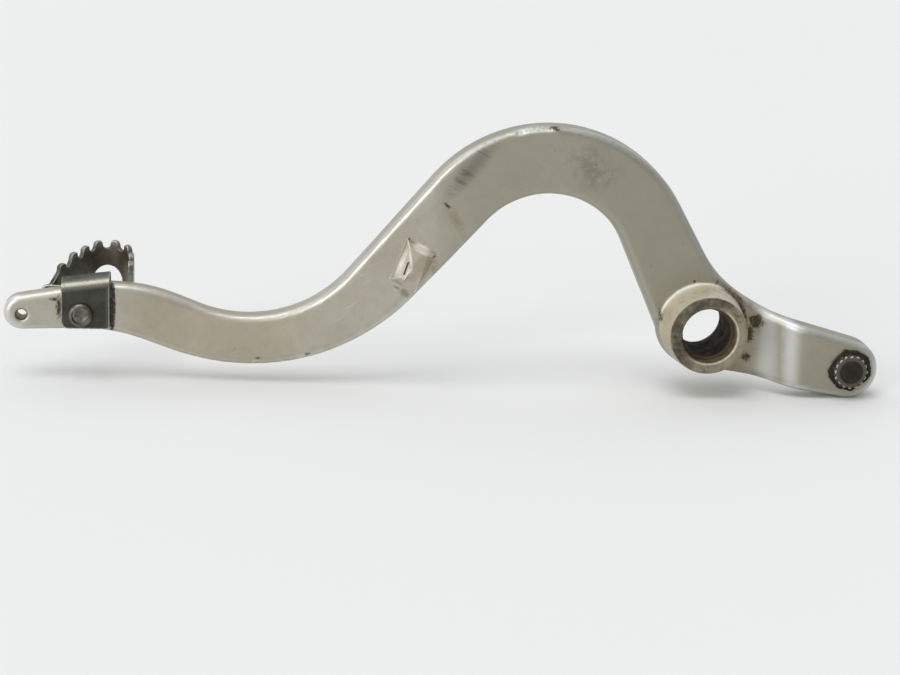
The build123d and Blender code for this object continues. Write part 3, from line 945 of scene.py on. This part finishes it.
def cutLug(piece):
    # the lug's place is levelled and given fine even faces, then raised to the lug's height and eased
    base = lugBase(piece)
    inside = lugSpots(spotsOf(piece)[0], base)
    shape = bmesh.new()
    shape.from_mesh(piece.data)
    edges = [edge for edge in shape.edges if all(inside[vert.index] for vert in edge.verts)]
    bmesh.ops.subdivide_edges(shape, edges=edges, cuts=lug["cuts"], use_grid_fill=True)
    shape.verts.ensure_lookup_table()
    inside = lugSpots(np.array([vert.co[:] for vert in shape.verts]) / mm, base)
    verts = [shape.verts[place] for place in np.flatnonzero(inside)]
    relax(shape, verts, lug["evenRounds"], across=False)
    along, across, _ = lugPlace(np.array([vert.co[:] for vert in verts]) / mm)
    near = lugTerms(along, across) @ base - lugHeight(along, across)
    for vert, y in zip(verts, near):
        vert.co.y = y * mm
    relax(shape, verts, lug["easeRounds"], side=False)
    shape.to_mesh(piece.data)
    shape.free()


def makeLever():
    piece = fuse(cadCopy("lever_forging"), "leverForging", lever)
    cutLug(piece)
    spots, normals = spotsOf(piece)
    roughen(spots, normals, lever["wave"], lever["waveSize"])
    for mark in lever["nicks"]:
        dent(spots, normals, mark)
    scrapeArch(spots)
    placeSpots(piece, spots)
    return dress(piece, makeAlloyFinish(), "lever_forging", lowShare=lever["lowShare"])


# Saddle: the folded sheet, with a round near fold and worn edges that carry painted highlights
saddle = {
    "voxel": 0.27,
    "rounds": 4,
    "wave": 0.05,
    "waveSize": 6.0,
    "nearFace": 5.0,
    "topX": -218.5,
    "topZ": 14.7,
    "tilt": 7.2,
    "lift": 3.25,
    "liftLow": 5.0,
    "liftRun": 4.0,
    "leftX": -236.5,
    "fold": 4.6,
}


def makeSaddle(finish):
    piece = fuse(cadCopy("toe_saddle"), "toeSaddle", saddle)
    spots, normals = spotsOf(piece)
    # the top is lifted towards its right end, then the near fold is pulled in to its round
    high = ((spots[:, 2] - saddle["liftLow"]) / saddle["liftRun"]).clip(0, 1)
    spots[:, 2] += high * (spots[:, 0] - saddle["leftX"]).clip(0) * math.tan(math.radians(saddle["lift"]))
    top = saddle["topZ"] + (spots[:, 0] - saddle["topX"]) * math.tan(math.radians(saddle["tilt"]))
    fold = saddle["fold"]
    inY, upZ = spots[:, 1] - saddle["nearFace"] - fold, spots[:, 2] - top + fold
    reach = np.hypot(inY, upZ)
    pull = np.where((inY < 0) & (upZ > 0) & (reach > fold), fold / reach.clip(0.1), 1.0)
    spots[:, 1] += inY * (pull - 1)
    spots[:, 2] += upZ * (pull - 1)
    roughen(spots, normals, saddle["wave"], saddle["waveSize"], seed=2.0)
    placeSpots(piece, spots)
    return dress(piece, finish, "toe_saddle")


# Tread: a toothed strip bent round a nose, drawn flat as a grid and then bent
tread = {
    "frontX": -240.0,
    "frontExtra": 1.5,
    "rearX": -211.4,
    "footY": 18.0,
    "noseX": -220.4,
    "noseOut": 9.9,
    "noseR": 9.0,
    "sheet": 2.0,
    "rise": 15.0,
    "lowRise": 7.0,
    "lowZ": 3.0,
    "tipZ": 16.4,
    "pitch": 6.4,
    "firstTooth": 5.0,
    "toothFlat": 0.4,
    "toothRound": 1.3,
    "valleyR": 1.5,
    "toothDepth": 3.1,
    "frontDrop": 1.8,
    "dropShift": 0.4,
    "heelEnd": 3.3,
    "heelZ": 9.2,
    "heelStart": -0.6,
    "archX": -220.7,
    "archR": 6.1,
    "archZ": 5.8,
    "columns": 260,
    "rows": 44,
    "voxel": 0.22,
    "rounds": 6,
    "lowShare": 0.25,
}


def treadPath():
    # the strip's two straight arms meet the nose circle as tangents
    arms = []
    for footX, hand in ((tread["frontX"], 1), (tread["rearX"], -1)):
        along, out = tread["noseX"] - footX, tread["noseOut"]
        run = math.hypot(along, out)
        way = math.atan2(out, along) + hand * math.asin(tread["noseR"] / run)
        arms.append((footX, way, math.sqrt(run**2 - tread["noseR"] ** 2)))
    return arms


def treadPoint(s, arms):
    (frontX, frontWay, frontRun), (rearX, rearWay, rearRun) = arms
    bend = tread["noseR"] * (frontWay - rearWay + math.pi)
    if s < frontRun:
        return frontX + s * math.cos(frontWay), tread["footY"] + s * math.sin(frontWay)
    if s < frontRun + bend:
        way = frontWay - (s - frontRun) / tread["noseR"]
        noseY = tread["footY"] + tread["noseOut"]
        return tread["noseX"] - tread["noseR"] * math.sin(way), noseY + tread["noseR"] * math.cos(way)
    left = frontRun + bend + rearRun - s
    return rearX + left * math.cos(rearWay), tread["footY"] + left * math.sin(rearWay)


def toothCut(s):
    # round tip, short side, round valley
    turns = (s - tread["firstTooth"]) / tread["pitch"]
    off = abs(turns - round(turns)) * tread["pitch"] - tread["toothFlat"]
    if off <= 0:
        return 0.0
    if off < tread["toothRound"]:
        return tread["toothRound"] - math.sqrt(tread["toothRound"] ** 2 - off**2)
    low = tread["pitch"] / 2 - tread["toothFlat"] - off
    return tread["toothDepth"] - tread["valleyR"] + math.sqrt(max(0, tread["valleyR"] ** 2 - low**2))


def treadEdges(s, x, y):
    # lower and upper edge of the strip at a place along it
    out = y - tread["footY"]
    low = tread["lowZ"] + out * math.tan(math.radians(tread["lowRise"]))
    side = abs(x - tread["archX"])
    if out > tread["noseOut"] and side < tread["archR"]:
        low = max(low, tread["archZ"] + math.sqrt(tread["archR"] ** 2 - side**2))
    past = min(1, max(0, (s - tread["firstTooth"]) / tread["pitch"] * 2 - tread["dropShift"]))
    top = tread["tipZ"] + out * math.tan(math.radians(tread["rise"])) - tread["frontDrop"] * (1 - past)
    if s < tread["heelEnd"]:
        return low, tread["heelZ"] + max(0, s - tread["heelStart"])
    return low, top - toothCut(s)


def makeTread(finish):
    arms = treadPath()
    start = -tread["frontExtra"]
    total = arms[0][2] + arms[1][2] + tread["noseR"] * (arms[0][1] - arms[1][1] + math.pi) - start
    shape = bmesh.new()
    bmesh.ops.create_grid(shape, x_segments=tread["columns"], y_segments=tread["rows"], size=0.5)
    for vert in shape.verts:
        s = start + (vert.co.x + 0.5) * total
        x, y = treadPoint(s, arms)
        low, top = treadEdges(s, x, y)
        vert.co = Vector((x, y, low + (top - low) * (vert.co.y + 0.5))) * mm
    bmesh.ops.recalc_face_normals(shape, faces=shape.faces)
    shape.normal_update()
    half = tread["sheet"] / 2 * mm
    for vert in shape.verts:
        vert.co -= vert.normal * half
    bmesh.ops.solidify(shape, geom=shape.faces, thickness=-2 * half)
    bmesh.ops.recalc_face_normals(shape, faces=shape.faces)
    piece = fuse(shape, "toeTread", tread)
    return dress(piece, finish, "toe_tread", lowShare=tread["lowShare"])


# Rivet: low domed head with a set mark, shank and plain outer head
rivet = {
    "x": -229.0,
    "z": 0.6,
    "profile": [
        (0.0, 3.3), (1.5, 3.25), (2.4, 3.0), (2.9, 2.9), (3.6, 3.1), (4.2, 3.65), (4.55, 4.4), (4.55, 5.0),
        (2.5, 5.0), (2.5, 18.0), (4.0, 18.0), (4.0, 18.9), (3.4, 19.5), (0.0, 19.5),
    ],
    "steps": 96,
    "headY": 5.0,
    "wave": 0.07,
    "waveSize": 1.4,
    "markRadius": 2.9,
    "markWidth": 0.42,
    "markDepth": 0.55,
    "markTurn": 215.0,
    "voxel": 0.17,
    "rounds": 3,
}


def makeRivet():
    shape = spinShape(rivet["profile"], rivet["x"], rivet["z"], rivet["steps"])
    piece = fuse(shape, "toeRivet", rivet)
    spots, normals = spotsOf(piece)
    side, up = spots[:, 0] - rivet["x"], spots[:, 2] - rivet["z"]
    facing = np.cos(np.arctan2(up, side) - math.radians(rivet["markTurn"]))
    groove = np.exp(-(((np.hypot(side, up) - rivet["markRadius"]) / rivet["markWidth"]) ** 2))
    front = spots[:, 1] < rivet["headY"]
    spots[:, 1] += np.where(front, groove * rivet["markDepth"] * (0.5 + 0.5 * facing) ** 2, 0)
    roughen(spots, normals, np.where(front, rivet["wave"], 0), rivet["waveSize"], seed=7.0)
    placeSpots(piece, spots)
    return dress(piece, makeRivetFinish(), "toe_rivet")


# Rear pin: hammered flange, knurled collar, flat end and plain shank
pin = {
    "x": 54.5,
    "z": -13.5,
    "profile": [
        (0.0, -15.4), (3.6, -15.4), (4.0, -15.1), (4.2, -14.5), (6.0, -14.5), (6.35, -14.2), (6.35, -13.2),
        (7.7, -13.1), (8.0, -12.8), (8.0, -12.0), (4.5, -12.0), (4.5, 0.0), (4.0, 0.0), (4.0, 13.2),
        (3.2, 14.0), (0.0, 14.0),
    ],
    "steps": 192,
    "knurls": 16,
    "knurlDepth": 0.75,
    "collar": (5.2, 6.6),
    "collarFoot": -13.0,
    "flangeR": 8.0,
    "flange": [  # angle and radius of each corner
        (17, 8.0), (41, 8.6), (74, 8.0), (107, 8.4), (146, 7.5), (180, 8.2),
        (199, 8.1), (237, 7.9), (276, 7.9), (325, 7.3), (350, 8.3),
    ],
    "waveSize": 1.1,
    "waves": (0.3, 0.04),  # outside and inside the rough radius
    "roughR": 6.0,
    "voxel": 0.2,
    "rounds": 2,
}


def flangeReach(turn):
    # straight sides between the flange's corners, seen from the near side
    corners = pin["flange"]
    firstTurn, firstR = corners[0]
    angle = turn if turn >= firstTurn else turn + 360
    for (start, r1), (end, r2) in zip(corners, corners[1:] + [(firstTurn + 360, firstR)]):
        if start <= angle <= end:
            one, two = math.radians(angle - start), math.radians(end - angle)
            return r1 * r2 * math.sin(one + two) / (r1 * math.sin(one) + r2 * math.sin(two))
    return firstR


def makePin():
    shape = spinShape(pin["profile"], pin["x"], pin["z"], pin["steps"])
    low, high = pin["collar"]
    for vert in shape.verts:
        side, up = vert.co.x / mm - pin["x"], vert.co.z / mm - pin["z"]
        radius, turn = math.hypot(side, up), math.degrees(math.atan2(up, side)) % 360
        grow = 1.0
        if low < radius < high and vert.co.y / mm < pin["collarFoot"]:
            groove = 0.5 - 0.5 * math.cos(math.radians(turn * pin["knurls"]))
            grow = 1 - pin["knurlDepth"] / radius * groove
        elif radius > high:
            grow = flangeReach(turn) / pin["flangeR"]
        vert.co.x = (pin["x"] + side * grow) * mm
        vert.co.z = (pin["z"] + up * grow) * mm
    piece = fuse(shape, "pushRodPin", pin)
    spots, normals = spotsOf(piece)
    radii = np.hypot(spots[:, 0] - pin["x"], spots[:, 2] - pin["z"])
    waves = np.where(radii > pin["roughR"], *pin["waves"])
    roughen(spots, normals, waves, pin["waveSize"], seed=3.0)
    placeSpots(piece, spots)
    return dress(piece, makePinFinish(), "push_rod_pin", rounds=1)


# Bush: plain ring with eased mouths
bush = {"outer": 10.0, "inner": 9.0, "half": 11.0, "ease": 0.8, "steps": 128, "voxel": 0.3, "rounds": 2}


def makeBush():
    outer, inner, half, ease = bush["outer"], bush["inner"], bush["half"], bush["ease"]
    profile = [
        (inner, -half + ease), (inner + ease, -half), (outer, -half), (outer, half), (inner + ease, half),
        (inner, half - ease), (inner, -half + ease),
    ]
    piece = fuse(spinShape(profile, 0, 0, bush["steps"]), "pivotBush", bush)
    return dress(piece, makeBushFinish(), "pivot_bush")


toeFinish = makeToeFinish()
pieces = [makeLever(), makeBush(), makeSaddle(toeFinish), makeTread(toeFinish), makeRivet(), makePin()]
print("pieces made:", len(pieces), "finishes:", len(bpy.data.materials))


# Studio: pale floor under the lowest point, soft light from above and the left, camera as in the photo
studio = {
    "floorSize": 6.0,
    "floorGap": 0.05,
    "floorTone": (236, 237, 236),
    "floorRough": 0.75,
    "lamps": [
        dict(name="overhead", place=(-0.22, -0.24, 0.95), wide=38.0, power=0.95),
        dict(name="leftSide", place=(-0.62, -0.74, 0.27), wide=26.0, power=1.0),
    ],
    # each sky entry goes from one direction value to another, with the light at both
    "skyUp": (-0.05, 0.9, 0.22, 0.5),
    "skyLeft": (0.2, -1.0, 0.0, 0.3),
    "skyBack": (-0.2, 0.8, 0.0, 0.45),
    "skyTone": (0.98, 0.99, 1.0, 1),
    "camLens": 88.0,
    "camSensor": 36.0,
    "camClip": (0.01, 50.0),
    "camPlace": (-178.47, -778.81, 207.84),
    "camRight": (0.9945, -0.0981, 0.0359),
    "camUp": (-0.0087, 0.2649, 0.9642),
    "camBack": (-0.1041, -0.9593, 0.2626),
}


def makeFloor():
    shape = bmesh.new()
    bmesh.ops.create_grid(shape, x_segments=1, y_segments=1, size=studio["floorSize"])
    bmesh.ops.translate(shape, verts=shape.verts, vec=(0, 0, cadBox[0][2] - studio["floorGap"] * mm))
    mesh = bpy.data.meshes.new("floor")
    shape.to_mesh(mesh)
    shape.free()
    floor = bpy.data.objects.new("floor", mesh)
    bpy.context.scene.collection.objects.link(floor)
    finish = bpy.data.materials.new("paleSheet")
    finish.use_nodes = True
    bsdf = finish.node_tree.nodes["Principled BSDF"].inputs
    bsdf["Base Color"].default_value = tone(*studio["floorTone"])
    bsdf["Roughness"].default_value = studio["floorRough"]
    mesh.materials.append(finish)


def addLamp(name, place, wide, power):
    lamp = bpy.data.lights.new(name, "SUN")
    lamp.energy = power
    lamp.angle = math.radians(wide)
    holder = bpy.data.objects.new(name, lamp)
    holder.location = place
    holder.rotation_euler = Vector(place).to_track_quat("Z", "Y").to_euler()
    bpy.context.scene.collection.objects.link(holder)


def makeSky():
    # brightest overhead, behind and to the left, dimmest low towards the viewer and the right
    world = bpy.data.worlds.new("studioSky")
    bpy.context.scene.world = world
    world.use_nodes = True
    tree = world.node_tree
    way = addNode(tree, "ShaderNodeTexCoord").outputs["Generated"]
    x, y, z = addNode(tree, "ShaderNodeSeparateXYZ", None, Vector=way).outputs
    axes = ((z, "skyUp"), (x, "skyLeft"), (y, "skyBack"))
    light = chain(tree, "ADD", [spread(tree, axis, *studio[name]) for axis, name in axes])
    background = tree.nodes["Background"].inputs
    feed(tree, background["Strength"], light)
    background["Color"].default_value = studio["skyTone"]


def makeCamera():
    camera = bpy.data.cameras.new("photoCamera")
    camera.lens = studio["camLens"]
    camera.sensor_width = studio["camSensor"]
    camera.clip_start, camera.clip_end = studio["camClip"]
    eye = bpy.data.objects.new("photoCamera", camera)
    columns = [studio["camRight"], studio["camUp"], studio["camBack"]]
    turn = Matrix(columns).transposed().to_4x4()
    eye.matrix_world = Matrix.Translation(Vector(studio["camPlace"]) * mm) @ turn
    bpy.context.scene.collection.objects.link(eye)
    bpy.context.scene.camera = eye


makeFloor()
for lamp in studio["lamps"]:
    addLamp(**lamp)
makeSky()
makeCamera()
bpy.context.scene.view_settings.view_transform = "Standard"
print("studio made")
